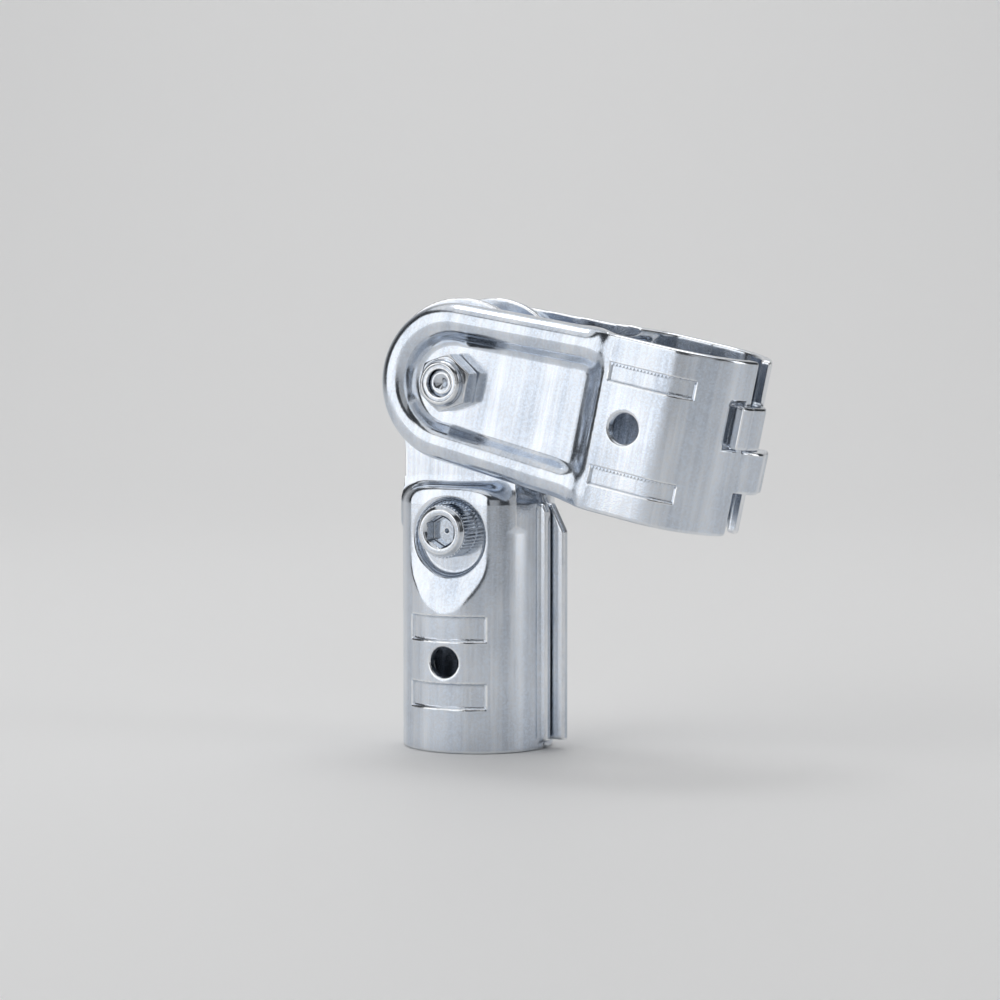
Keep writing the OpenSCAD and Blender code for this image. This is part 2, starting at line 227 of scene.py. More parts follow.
class StageLook(bpy.types.PropertyGroup):
    floor: colour("Floor", "Colour of the floor and backdrop", (0.86, 0.86, 0.86))
    azimuth: degrees("Azimuth", "Camera's turn to the right of the front", 27)
    elevation: degrees("Elevation", "Camera's height above level", 3.7)
    distance: length("Distance", "Camera's distance from its aim", 650)
    frame_width: length("Frame width", "Width of the view at the aim", 216.5)
    aim_right: length("Aim right", "Aim to the right of the swivel axis, in the picture", 4.76)
    aim_down: length("Aim down", "Aim below the swivel axis, in the picture", 25.7)
    fill: colour("Fill", "Colour of the faint light all round", (0.75, 0.78, 0.82))
    fill_strength: share("Fill strength", "Strength of the faint light all round", 0.06)
    key_power: plain("Key light", "Power of the left light in watts", 4.6)
    front_power: plain("Front light", "Power of the front light in watts", 0.9)
    strip_power: plain("Strip light", "Power of the right light in watts", 1.3)
    top_power: plain("Top light", "Power of the top light in watts", 9)
    back_power: plain("Back light", "Power of the backdrop light in watts", 9)


class ConnectorSettings(bpy.types.PropertyGroup):
    sheet: PointerProperty(type=SheetSizes)
    socket: PointerProperty(type=SocketSizes)
    clamp: PointerProperty(type=ClampSizes)
    fastener: PointerProperty(type=FastenerSizes)
    plating: PointerProperty(type=PlatingLook)
    stage: PointerProperty(type=StageLook)


def settings():
    return bpy.context.scene.connector


# Levels that several pieces share

def wall_radius():
    return TUBE_R + settings().sheet.thickness


def shoulder_height():
    return SOCKET_LEN + settings().socket.box_height


def bolt_height():
    return SOCKET_LEN + settings().socket.bolt_rise


def shield_face():
    """Distance of the shield's flat from the socket's axis."""
    return math.sqrt(wall_radius() ** 2 - (settings().socket.shield_width / 2) ** 2)


def pocket_face():
    return shield_face() - settings().socket.pocket_depth


def tongue_face():
    """Distance of a tongue plate's outer face from the middle plane."""
    return settings().socket.tongue_gap / 2 + settings().sheet.thickness


def arm_inner_face():
    return tongue_face() + settings().clamp.slip


def arm_outer_face():
    return arm_inner_face() + settings().sheet.thickness


# Distance fields

def smooth_max(a, b, k):
    """The larger of two fields, with the corner between them rounded over k."""
    near = np.maximum(k - np.abs(a - b), 0) / k
    return np.maximum(a, b) + near * near * k / 4


def smooth_min(a, b, k):
    return -smooth_max(-a, -b, k)


def ease(t):
    u = np.clip(t, 0, 1)
    return u * u * (3 - 2 * u)


def pad_mask(along, z, half, pitch, height):
    """1 inside the two grip pads above and below z = 0, 0 outside, with a short slope between."""
    across = np.abs(np.abs(z) - pitch / 2) - height / 2
    outside = np.maximum(np.abs(along) - half, across)
    return ease(0.5 - outside / settings().sheet.pad_slope)


def sheet_between(skin, thickness, pressed):
    """The sheet under a die surface, with its outer skin pressed in where asked."""
    return np.maximum(skin + pressed, -(skin + thickness))


def socket_field(x, w, z, reach, cut):
    """One socket half: x across, w outwards from the seam, z up.

    Its seam flange has the given reach and corner cut.
    """
    sheet, size, fast = settings().sheet, settings().socket, settings().fastener
    wall, top, pivot, bolt = wall_radius(), shoulder_height(), PIVOT.z, bolt_height()
    r = np.hypot(x, w)
    beyond_r = r - (wall - size.shoulder_round)
    beyond_z = z - (top - size.shoulder_round)
    can = (np.hypot(np.maximum(beyond_r, 0), np.maximum(beyond_z, 0))
           + np.minimum(np.maximum(beyond_r, beyond_z), 0) - size.shoulder_round)
    foot_r = size.shield_width / 2 + size.shield_ease
    foot_z = np.minimum(z - (SOCKET_LEN + size.foot_lift + foot_r), 0)
    from_mid = np.hypot(x, foot_z)
    downward = (foot_z / np.maximum(from_mid, 1 * MM)) ** 4
    draft = size.shield_draft + (size.foot_draft - size.shield_draft) * downward
    inset = size.shield_inset + (size.foot_inset - size.shield_inset) * downward
    side = from_mid - foot_r + inset - draft * (w - shield_face())
    shield = smooth_max(shield_face() - w, side / np.hypot(1, draft), sheet.press_round)
    skin = smooth_max(can, -shield, sheet.press_round)
    pocket = np.hypot(x, z - bolt + size.pocket_drop) - size.pocket_radius
    pocket = smooth_max(pocket_face() - w, pocket, 0.4 * sheet.press_round)
    skin = smooth_max(skin, -pocket, 0.6 * sheet.press_round)
    neck = np.maximum(np.abs(x) - size.tongue_foot, z - pivot)
    plate = smooth_min(np.hypot(x, z - pivot) - size.tongue_radius, neck, size.neck_round)
    tongue = np.maximum(np.maximum(w - tongue_face(), plate), top - 2 * size.shoulder_round - z)
    skin = smooth_min(skin, tongue, sheet.press_round)

    pads = pad_mask(np.arctan2(x, w) * wall, z - LOCK_Z, sheet.socket_pad_arc / 2 * wall,
                    sheet.socket_pad_pitch, sheet.socket_pad_height)
    inside = sheet.thickness + size.ledge * (z > SOCKET_LEN)
    body = sheet_between(skin, inside, sheet.pad_depth * pads)
    edge = sheet.edge_round
    body = smooth_max(body, size.gap / 2 - w, edge)
    body = smooth_max(body, -z, edge)
    between_plates = np.maximum(top - size.shoulder_round - z, w - size.tongue_gap / 2)
    closed = np.minimum(np.abs(x) - size.tongue_foot + size.closed_side, top + size.closed_side - z)
    body = smooth_max(body, -np.maximum(between_plates, closed), CUT_ROUND)
    body = smooth_max(body, plate_trim(plate, z, top), edge)
    for hole_z, radius in ((pivot, fast.bolt_radius + fast.pivot_gap),
                           (bolt, fast.bolt_radius + fast.hole_gap), (LOCK_Z, LOCK_R)):
        body = smooth_max(body, radius - np.hypot(x, z - hole_z), edge)
    return smooth_min(body, flange_field(x, w, z, reach, cut), size.flange_round)


def plate_trim(plate, z, top):
    """Trims the sheet to the tongue's outline above the shoulder, and nowhere below it."""
    start = top + settings().socket.trim_lift
    return np.where(z > start, plate, np.minimum(plate, z - start))


def flange_field(x, w, z, reach, cut):
    """Flat flange along a half's right-hand seam, with its top corner cut."""
    sheet, size = settings().sheet, settings().socket
    low_x, high_x = TUBE_R + size.ledge, wall_radius() + reach
    top = shoulder_height() - size.shoulder_round
    corner = (2 * (x - high_x) + z - top + 2 * cut) / math.sqrt(5)
    edge = sheet.edge_round
    flat = np.abs(w - size.gap / 2 - sheet.thickness / 2) - sheet.thickness / 2
    outline = np.maximum(np.maximum(low_x - x, x - high_x), np.maximum(size.flange_lift - z, z - top))
    return smooth_max(np.maximum(outline, corner), flat, edge)


def clamp_field(x, w, z):
    """One clamp half about the swivel: x along the arm, w out from the middle plane, z along the tube."""
    sheet, size, fast = settings().sheet, settings().clamp, settings().fastener
    wall, inner = wall_radius(), arm_inner_face()
    bead_mid = size.arm_radius - size.bead_radius
    along = x * math.cos(size.arm_spread) + np.abs(z) * math.sin(size.arm_spread)
    across = np.abs(z) * math.cos(size.arm_spread) - x * math.sin(size.arm_spread)
    from_path = np.where(along > 0, across, np.hypot(x, z)) - bead_mid
    bead = np.hypot(from_path, np.maximum(w - inner - size.bead_base, 0)) - size.bead_radius
    floor = np.maximum(w - arm_outer_face(), from_path)
    tube_x = x - ARM_LEN
    arm = np.maximum(smooth_min(bead, floor, sheet.press_round), tube_x + size.flat + size.arm_stop)
    r = np.hypot(tube_x, w)
    run = size.slope / (wall - arm_outer_face())
    flat_end = (-size.flat - tube_x - run * (wall - w)) / math.sqrt(1 + run * run)
    flat = np.maximum(smooth_max(w - wall, flat_end, 0.8 * sheet.press_round), tube_x)
    skin = smooth_min(arm, np.minimum(r - wall, flat), 1.5 * sheet.press_round)

    pad_arc = sheet.clamp_pad_arc * wall
    along_wall = np.where(tube_x < 0, tube_x, np.arctan2(tube_x, w) * wall)
    pads = pad_mask(along_wall - (pad_arc - sheet.clamp_pad_flat) / 2, z,
                    (pad_arc + sheet.clamp_pad_flat) / 2, sheet.clamp_pad_pitch, sheet.clamp_pad_height)
    body = sheet_between(skin, sheet.thickness, sheet.pad_depth * pads)
    edge = sheet.edge_round
    body = smooth_max(body, size.gap / 2 - w, edge)
    beside_arm = np.maximum(tube_x + size.flat + size.slope_trim, from_path - size.bead_radius)
    body = smooth_max(body, np.minimum(np.abs(z) - CLAMP_LEN / 2, beside_arm), edge)
    body = smooth_max(body, -np.maximum(tube_x, w - inner), CUT_ROUND)
    body = smooth_max(body, fast.bolt_radius + fast.pivot_gap - np.hypot(x, z), edge)
    body = smooth_max(body, LOCK_R - np.hypot(x - CLAMP_LOCK_X, z), edge)

    # The slot for the other half's hook, then this half's own hook
    angle = np.arctan2(w, tube_x)
    mid = TUBE_R + sheet.thickness / 2
    edge_a = math.asin(size.gap / 2 / mid)
    slot_a = edge_a + size.bridge / mid
    tip_a = slot_a + size.hook_gap / mid
    hook_a = tip_a + size.tip / mid
    slot_end_a = hook_a + size.slot_play / mid
    slot_mid, slot_half = (slot_a + slot_end_a) / 2, (slot_end_a - slot_a) / 2
    slot_high = size.hook_width / 2 + size.hook_gap
    slot = np.maximum(np.abs(angle - slot_mid) * mid - slot_half * mid, np.abs(z - slot_high) - slot_high)
    body = smooth_max(body, -slot, edge)

    lift = (sheet.thickness + size.hook_gap) * ease((edge_a - angle) / (1.6 * edge_a))
    band = np.abs(r - mid - lift) - sheet.thickness / 2
    band = np.maximum(band, np.maximum(-hook_a - angle, angle - edge_a - 0.2) * mid)
    outer = wall + sheet.thickness + size.hook_gap
    tip = np.maximum(np.abs(angle + (tip_a + hook_a) / 2) * mid - size.tip / 2,
                     np.maximum(TUBE_R + size.hook_gap - r, r - outer))
    hook = smooth_min(band, tip, 1 * MM)
    hook = smooth_max(hook, np.abs(z + size.hook_gap + size.hook_width / 2) - size.hook_width / 2, edge)
    return smooth_min(body, hook, FINE_ROUND)


def hexagon(p, q):
    """Largest distance from the middle of a hexagon to its flats' lines."""
    return np.maximum.reduce([np.abs(p * math.cos(a) + q * math.sin(a)) for a in np.radians((0, 60, 120))])


def bolt_field(p, a, q, shank):
    """A socket screw: a is the distance along it from the head's seat towards the head's top."""
    size = settings().fastener
    r = np.hypot(p, q)
    rim = 0.8 * MM
    head = smooth_max(r - size.head_radius, a - size.head_height, rim)
    head = smooth_max(head, -a, FINE_ROUND)
    chamfer = (r - size.head_radius + a - size.head_height + rim) / math.sqrt(2)
    head = smooth_max(head, chamfer, 0.15 * MM)
    key = smooth_max(hexagon(p, q) - size.key_flats / 2, size.head_height - size.key_depth - a, FINE_ROUND)
    lead_in = (r - size.key_flats * 0.6 + (size.head_height - a) * 0.9) / 1.35
    head = smooth_max(head, -np.minimum(key, lead_in), 0.25 * MM)
    turn = a / size.thread_pitch - np.arctan2(q, p) / (2 * math.pi)
    groove = np.abs(2 * (turn - np.floor(turn)) - 1)
    threaded = ease((-a - 3 * MM) / (1 * MM))
    radius = size.bolt_radius - size.thread_depth * threaded * ease(1.2 * groove - 0.1)
    stem = np.maximum((r - radius) * 0.7, a - 1 * MM)
    stem = smooth_max(stem, -shank - a, FINE_ROUND)
    stem = smooth_max(stem, (r - size.bolt_radius + 0.7 * MM - shank - a) / math.sqrt(2), FINE_ROUND)
    dish = (r - 1.7 * MM + (a + shank) * 1.6) / 1.9
    stem = smooth_max(stem, -dish, FINE_ROUND)
    return smooth_min(head, stem, 0.5 * MM)


def nut_field(p, a, q):
    """A six-sided nut: a is the distance from its seat."""
    size = settings().fastener
    r = np.hypot(p, q)
    half = (size.nut_height - size.collar_height) / 2
    prism = smooth_max(hexagon(p, q) - size.nut_flats / 2, np.abs(a - half) - half, 0.35 * MM)
    from_face = half - np.abs(a - half)
    prism = smooth_max(prism, (r - 0.48 * size.nut_flats - 1.75 * from_face) / 2.0, FINE_ROUND)
    collar = smooth_max(r - size.collar_radius, a - size.nut_height, 1.6 * MM)
    collar = np.maximum(collar, half - a)
    body = smooth_min(prism, collar, 0.4 * MM)
    insert = np.maximum(r - size.bolt_radius - 0.9 * MM, size.nut_height - 0.5 * MM - a)
    body = smooth_max(body, -insert, CUT_ROUND)
    return smooth_max(body, size.bolt_radius - 0.02 * MM - r, CUT_ROUND)


# Meshing of a field

CORNERS = np.array([(i, j, k) for i in (0, 1) for j in (0, 1) for k in (0, 1)])
EDGES = [(a, b) for a in range(8) for b in range(a + 1, 8) if np.abs(CORNERS[a] - CORNERS[b]).sum() == 1]


def slope_of(field, points, h):
    """Direction in which a field grows at each point, times its steepness."""
    slope = np.empty_like(points)
    for axis in range(3):
        ahead, behind = points.copy(), points.copy()
        ahead[:, axis] += h
        behind[:, axis] -= h
        slope[:, axis] = (field(*ahead.T) - field(*behind.T)) / (2 * h)
    return slope


def net_of(field, low, high, step):
    """Points, outward directions and quads of the surface where a field is zero, on a grid of that step."""
    axes = [np.arange(low[i] - 2 * step, high[i] + 3 * step, step) for i in range(3)]
    values = field(axes[0][:, None, None], axes[1][None, :, None], axes[2][None, None, :])
    inside = values < 0
    cells = tuple(n - 1 for n in inside.shape)
    count = np.zeros(cells, np.int8)
    for i, j, k in CORNERS:
        count += inside[i:i + cells[0], j:j + cells[1], k:k + cells[2]]
    active = np.argwhere((count > 0) & (count < 8))
    number = np.full(cells, -1, np.int64)
    number[tuple(active.T)] = np.arange(len(active))

    corner_values = np.stack([values[tuple((active + c).T)] for c in CORNERS])
    total, hits = np.zeros((len(active), 3)), np.zeros(len(active))
    for a, b in EDGES:
        va, vb = corner_values[a], corner_values[b]
        crossed = (va < 0) != (vb < 0)
        part = np.where(crossed, va / np.where(crossed, va - vb, 1), 0)[:, None]
        total += np.where(crossed[:, None], CORNERS[a] + part * (CORNERS[b] - CORNERS[a]), 0)
        hits += crossed
    origin = np.array([axis[0] for axis in axes])
    points = origin + (active + total / hits[:, None]) * step

    # Two Newton steps bring each point onto the true surface
    for _ in range(2):
        slope = slope_of(field, points, 0.1 * step)
        steep = np.maximum((slope ** 2).sum(1), 0.05)
        move = slope * (field(*points.T) / steep)[:, None]
        size = np.linalg.norm(move, axis=1)[:, None]
        points -= move * np.minimum(1, 0.5 * step / np.maximum(size, 1e-12))
    slope = slope_of(field, points, 0.15 * step)
    normals = slope / np.maximum(np.linalg.norm(slope, axis=1), 1e-12)[:, None]

    quads = []
    for axis in range(3):
        u, v = (axis + 1) % 3, (axis + 2) % 3
        ahead = [slice(None)] * 3
        behind = [slice(None)] * 3
        ahead[axis], behind[axis] = slice(1, None), slice(None, -1)
        first, second = inside[tuple(behind)], inside[tuple(ahead)]
        for leaving in (True, False):
            edges = np.argwhere((first != second) & (first == leaving))
            ring = []
            for du, dv in ((-1, -1), (0, -1), (0, 0), (-1, 0)):
                cell = edges.copy()
                cell[:, u] += du
                cell[:, v] += dv
                ring.append(number[tuple(cell.T)])
            quads.append(np.stack(ring if leaving else ring[::-1], 1))
    quads = np.concatenate(quads)
    if quads.min() < 0:
        raise ValueError("The surface leaves its grid")
    return points, normals, quads


def edge_of(field, points, h):
    """How sharply a field's surface bends at each point: above 0 on outer edges, below 0 in corners."""
    bend = -6 * field(*points.T)
    for axis in range(3):
        for side in (-h, h):
            moved = points.copy()
            moved[:, axis] += side
            bend += field(*moved.T)
    return np.clip(bend / h, -1, 1)


def net_mesh(name, field, low, high, step, place):
    """A smooth mesh of a field, put in its place by a matrix, with its edges marked in an attribute."""
    points, normals, quads = net_of(field, low, high, step)
    edges = edge_of(field, points, 0.4 * MM)
    matrix = np.array(place)
    points = points @ matrix[:3, :3].T + matrix[:3, 3]
    normals = normals @ matrix[:3, :3].T
    if place.determinant() < 0:
        quads = quads[:, ::-1]
    mesh = bpy.data.meshes.new(name)
    mesh.from_pydata(points.tolist(), [], quads.tolist())
    mesh.shade_smooth()
    normal = mesh.attributes.new("custom_normal", "FLOAT_VECTOR", "POINT")
    normal.data.foreach_set("vector", normals.astype(np.float32).ravel())
    edge = mesh.attributes.new("edge", "FLOAT", "POINT")
    edge.data.foreach_set("value", edges.astype(np.float32))
    mesh.update()
    return mesh


def add_piece(name, mesh, body, slot, material, *nodes):
    """Links a finished mesh as a piece that stands for solid nodes, or adds to them."""
    piece = bpy.data.objects.new(name, mesh)
    bpy.context.scene.collection.objects.link(piece)
    mesh.materials.clear()
    mesh.materials.append(material)
    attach(piece, body)
    if nodes:
        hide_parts(*nodes)
    return piece


# Materials

def new_group(name, inputs, outputs):
    """An empty shader group with named sockets, and its input and output nodes."""
    group = bpy.data.node_groups.new(name, "ShaderNodeTree")
    for socket, kind, default in inputs:
        made = group.interface.new_socket(socket, in_out="INPUT", socket_type=kind)
        if default is not None:
            made.default_value = default
    for socket, kind in outputs:
        group.interface.new_socket(socket, in_out="OUTPUT", socket_type=kind)
    return group, group.nodes.new("NodeGroupInput"), group.nodes.new("NodeGroupOutput")


def noise(tree, vector, scale, detail):
    node = tree.nodes.new("ShaderNodeTexNoise")
    node.inputs["Scale"].default_value = scale
    node.inputs["Detail"].default_value = detail
    tree.links.new(vector, node.inputs["Vector"])
    return node.outputs["Fac"]


def remap(tree, value, low, high, to_low=0.0, to_high=1.0):
    node = tree.nodes.new("ShaderNodeMapRange")
    for socket, number in zip(("From Min", "From Max", "To Min", "To Max"), (low, high, to_low, to_high)):
        node.inputs[socket].default_value = number
    tree.links.new(value, node.inputs["Value"])
    return node.outputs["Result"]


def math_node(tree, operation, first, second):
    node = tree.nodes.new("ShaderNodeMath")
    node.operation = operation
    for socket, value in zip(node.inputs, (first, second)):
        if isinstance(value, (int, float)):
            socket.default_value = value
        else:
            tree.links.new(value, socket)
    return node.outputs["Value"]


def plate_grain_group():
    """Plated surface: cloudy patches, drawn streaks along Z, broad bands along Z that are painted reflection,
    and fine crystal speckle.
    """
    found = bpy.data.node_groups.get("plate grain")
    if found:
        return found
    group, source, result = new_group(
        "plate grain",
        [("Vector", "NodeSocketVector", None), ("Speckle Scale", "NodeSocketFloat", 2600.0)],
        [("Patches And Painted Bands", "NodeSocketFloat"), ("Fleck", "NodeSocketFloat"), ("Rough", "NodeSocketFloat"),
         ("Height", "NodeSocketFloat")])
    vector = source.outputs["Vector"]
    cloud = noise(group, vector, 90, 3)
    stretch = group.nodes.new("ShaderNodeMapping")
    stretch.inputs["Scale"].default_value = (1, 1, 0.04)
    group.links.new(vector, stretch.inputs["Vector"])
    streak = noise(group, stretch.outputs["Vector"], 1500, 2)
    crystal = group.nodes.new("ShaderNodeTexVoronoi")
    group.links.new(vector, crystal.inputs["Vector"])
    group.links.new(source.outputs["Speckle Scale"], crystal.inputs["Scale"])
    grain = crystal.outputs["Distance"]
    # Broad bands along Z: painted reflection, the bright and dark bands that a studio throws on round walls.
    band = noise(group, stretch.outputs["Vector"], 260, 1)
    patches_and_painted_bands = math_node(group, "ADD", remap(group, cloud, 0.3, 0.7, 0, 0.3),
                       remap(group, streak, 0.3, 0.7, 0, 0.25))
    patches_and_painted_bands = math_node(group, "ADD", patches_and_painted_bands, remap(group, band, 0.35, 0.65, 0, 0.55))
    group.links.new(patches_and_painted_bands, result.inputs["Patches And Painted Bands"])
    group.links.new(remap(group, crystal.outputs["Color"], 0.35, 0.75), result.inputs["Fleck"])
    rough = math_node(group, "ADD", remap(group, cloud, 0.35, 0.65, -0.02, 0.05),
                      remap(group, grain, 0, 0.6, -0.02, 0.04))
    group.links.new(math_node(group, "ADD", rough, remap(group, streak, 0.3, 0.7, -0.02, 0.04)),
                    result.inputs["Rough"])
    height = math_node(group, "ADD", math_node(group, "MULTIPLY", grain, 0.5),
                       math_node(group, "MULTIPLY", streak, 0.5))
    group.links.new(height, result.inputs["Height"])
    return group


def mix_colour(tree, factor, first, second):
    """Mixes two colours, each a socket or plain numbers, by a factor socket."""
    node = tree.nodes.new("ShaderNodeMix")
    node.data_type = "RGBA"
    inputs = [socket for socket in node.inputs if socket.type == "RGBA"]
    for socket, value in zip(inputs, (first, second)):
        if isinstance(value, bpy.types.NodeSocket):
            tree.links.new(value, socket)
        else:
            socket.default_value = (*value, 1)
    tree.links.new(factor, node.inputs[0])
    return next(socket for socket in node.outputs if socket.type == "RGBA")


def edge_wear_and_corner_shade_group():
    """Rubbed bright edges, and painted shade with a rougher plate in concave corners, broken up by noise."""
    found = bpy.data.node_groups.get("edge wear and corner shade")
    if found:
        return found
    look = settings().plating
    group, source, result = new_group(
        "edge wear and corner shade",
        [("Vector", "NodeSocketVector", None), ("Colour", "NodeSocketColor", None),
         ("Edge", "NodeSocketFloat", 0.0)],
        [("Colour", "NodeSocketColor"), ("Rough", "NodeSocketFloat")])
    broken = remap(group, noise(group, source.outputs["Vector"], 420, 3), 0.3, 0.6, 0.45, 1)
    rubbed = math_node(group, "MULTIPLY", remap(group, source.outputs["Edge"], 0.2, 0.8), broken)
    # Concave corners get painted shade in the colour and a rougher plate.
    painted_shade_and_dullness = math_node(group, "MULTIPLY", remap(group, source.outputs["Edge"], -0.2, -1.0, 0, 0.4), broken)
    colour_out = mix_colour(group, rubbed, source.outputs["Colour"], look.rubbed)
    group.links.new(mix_colour(group, painted_shade_and_dullness, colour_out, look.corner), result.inputs["Colour"])
    group.links.new(math_node(group, "SUBTRACT", math_node(group, "MULTIPLY", painted_shade_and_dullness, 0.2),
                              math_node(group, "MULTIPLY", rubbed, 0.05)), result.inputs["Rough"])
    return group


def plated_material(name, bright, shade, roughness, bump, tilt=0.0):
    """Bright plated steel, its grain turned to run along the piece."""
    found = bpy.data.materials.get(name)
    if found:
        return found
    material = bpy.data.materials.new(name)
    material.use_nodes = True
    tree = material.node_tree
    shader = tree.nodes["Principled BSDF"]
    shader.inputs["Metallic"].default_value = 1.0
    where = tree.nodes.new("ShaderNodeTexCoord")
    turn = tree.nodes.new("ShaderNodeMapping")
    turn.inputs["Rotation"].default_value = (0, -tilt, 0)
    tree.links.new(where.outputs["Object"], turn.inputs["Vector"])
    grain = tree.nodes.new("ShaderNodeGroup")
    grain.node_tree = plate_grain_group()
    tree.links.new(turn.outputs["Vector"], grain.inputs["Vector"])
    # The shade colour comes in by the grain's patches, streaks and painted reflection bands.
    plate = mix_colour(tree, grain.outputs["Patches And Painted Bands"], bright, shade)
    fleck = math_node(tree, "MULTIPLY", grain.outputs["Fleck"], 0.4)
    plate = mix_colour(tree, fleck, plate, settings().plating.fleck)
    edge = tree.nodes.new("ShaderNodeAttribute")
    edge.attribute_name = "edge"
    # The wear group brightens rubbed outer edges and paints shade into concave corners.
    wear_and_shade = tree.nodes.new("ShaderNodeGroup")
    wear_and_shade.node_tree = edge_wear_and_corner_shade_group()
    tree.links.new(turn.outputs["Vector"], wear_and_shade.inputs["Vector"])
    tree.links.new(plate, wear_and_shade.inputs["Colour"])
    tree.links.new(edge.outputs["Fac"], wear_and_shade.inputs["Edge"])
    tree.links.new(wear_and_shade.outputs["Colour"], shader.inputs["Base Color"])
    rough = math_node(tree, "ADD", grain.outputs["Rough"], wear_and_shade.outputs["Rough"])
    tree.links.new(math_node(tree, "ADD", rough, roughness), shader.inputs["Roughness"])
    ripple = tree.nodes.new("ShaderNodeBump")
    ripple.inputs["Strength"].default_value = bump
    ripple.inputs["Distance"].default_value = 0.05 * MM
    tree.links.new(grain.outputs["Height"], ripple.inputs["Height"])
    tree.links.new(ripple.outputs["Normal"], shader.inputs["Normal"])
    return material


def sheet_material(tilt):
    look = settings().plating
    name = "plated_sheet_clamp" if tilt else "plated_sheet_socket"
    return plated_material(name, look.sheet, look.sheet_shade, look.sheet_roughness, look.sheet_bump, tilt)


def bolt_material():
    look = settings().plating
    return plated_material("screw_plating", look.bolt, look.bolt_shade, look.bolt_roughness, look.bolt_bump)


def nut_material():
    look = settings().plating
    return plated_material("nut_plating", look.nut, look.nut_shade, look.bolt_roughness, look.bolt_bump)


# Pieces

FRONT = Matrix(((1, 0, 0, 0), (0, -1, 0, 0), (0, 0, 1, 0), (0, 0, 0, 1)))
REAR = Matrix.Identity(4)
TURNED = Matrix(((1, 0, 0, 0), (0, 1, 0, 0), (0, 0, -1, 0), (0, 0, 0, 1)))


class CONNECTOR_OT_socket_halves(bpy.types.Operator):
    """Build the two pressed halves of the tube socket"""
    bl_idname = "connector.socket_halves"
    bl_label = "Socket halves"

    def execute(self, context):
        wall, step, size = wall_radius(), settings().sheet.net_step, settings().socket
        wide = max(wall, size.tongue_radius)
        high_z = PIVOT.z + size.tongue_radius
        for side, place, reach, cut in (("front", FRONT, size.lip_reach, size.lip_reach / 2),
                                        ("rear", REAR, size.flange_reach, size.flange_cut)):
            mesh = net_mesh("socket_" + side, lambda x, w, z: socket_field(x, w, z, reach, cut),
                            (-wide, 0, 0), (wide + reach, wall, high_z), step, place)
            add_piece("socket_" + side + "_pressing", mesh, "socket", "zinc_sheet", sheet_material(0),
                      "socket_" + side + "_half")
        return {"FINISHED"}


class CONNECTOR_OT_clamp_halves(bpy.types.Operator):
    """Build the two hooked halves of the clamp, which are one pressing turned over"""
    bl_idname = "connector.clamp_halves"
    bl_label = "Clamp halves"

    def execute(self, context):
        wall, step, size = wall_radius(), settings().sheet.net_step, settings().clamp
        high_x = ARM_LEN + wall + settings().sheet.thickness + size.hook_gap
        high_z = CLAMP_LEN / 2 + 2 * MM
        for side, place in (("front", FRONT), ("rear", TURNED)):
            mesh = net_mesh("clamp_" + side, clamp_field, (-size.arm_radius, -0.6 * wall, -high_z),
                            (high_x, wall, high_z), step, TO_SWIVEL @ place)
            add_piece("clamp_" + side + "_pressing", mesh, "clamp", "zinc_sheet", sheet_material(ARM_TILT),
                      "clamp_" + side + "_half")
        return {"FINISHED"}


def seat(place, face, turned):
    """Matrix that stands a fastener on a seat that far from the middle plane, at the front or turned."""
    side = 1 if turned else -1
    return place @ Matrix(((1, 0, 0, 0), (0, side, 0, side * face), (0, 0, 1, 0), (0, 0, 0, 1)))


def fastener_places():
    """(name, body, place, face, head at the rear) of the two bolted joints."""
    socket_place = Matrix.Translation((0, 0, bolt_height()))
    return (("socket", "socket", socket_place, pocket_face(), False),
            ("swivel", "clamp", TO_SWIVEL, arm_outer_face(), True))


class CONNECTOR_OT_bolts(bpy.types.Operator):
    """Build the two socket screws, with their threads"""
    bl_idname = "connector.bolts"
    bl_label = "Bolts"

    def execute(self, context):
        size = settings().fastener
        for name, body, place, face, at_rear in fastener_places():
            shank = 2 * face + size.nut_height - size.sink
            mesh = net_mesh(name + "_bolt", lambda p, a, q: bolt_field(p, a, q, shank),
                            (-size.head_radius, -shank, -size.head_radius),
                            (size.head_radius, size.head_height, size.head_radius), size.net_step,
                            seat(place, face, at_rear))
            add_piece(name + "_screw", mesh, body, "plated_bolt", bolt_material(), name + "_bolt")
        return {"FINISHED"}


class CONNECTOR_OT_nuts(bpy.types.Operator):
    """Build the two six-sided nuts"""
    bl_idname = "connector.nuts"
    bl_label = "Nuts"

    def execute(self, context):
        size = settings().fastener
        corner = size.nut_flats / 2 / math.cos(math.radians(30))
        for name, body, place, face, at_rear in fastener_places():
            mesh = net_mesh(name + "_nut", nut_field, (-corner, 0, -corner),
                            (corner, size.nut_height, corner), size.net_step, seat(place, face, not at_rear))
            add_piece(name + "_hex_nut", mesh, body, "plated_nut", nut_material(), name + "_nut")
        return {"FINISHED"}


# Repeated marks, made with geometry nodes

def new_marks_tree(name, sizes):
    """An empty geometry tree with named size inputs and a material, and its two end nodes."""
    tree = bpy.data.node_groups.new(name, "GeometryNodeTree")
    tree.interface.new_socket("Geometry", in_out="OUTPUT", socket_type="NodeSocketGeometry")
    tree.interface.new_socket("Count", in_out="INPUT", socket_type="NodeSocketInt")
    for label in sizes:
        tree.interface.new_socket(label, in_out="INPUT", socket_type="NodeSocketFloat")
    tree.interface.new_socket("Material", in_out="INPUT", socket_type="NodeSocketMaterial")
    return tree, tree.nodes.new("NodeGroupInput"), tree.nodes.new("NodeGroupOutput")


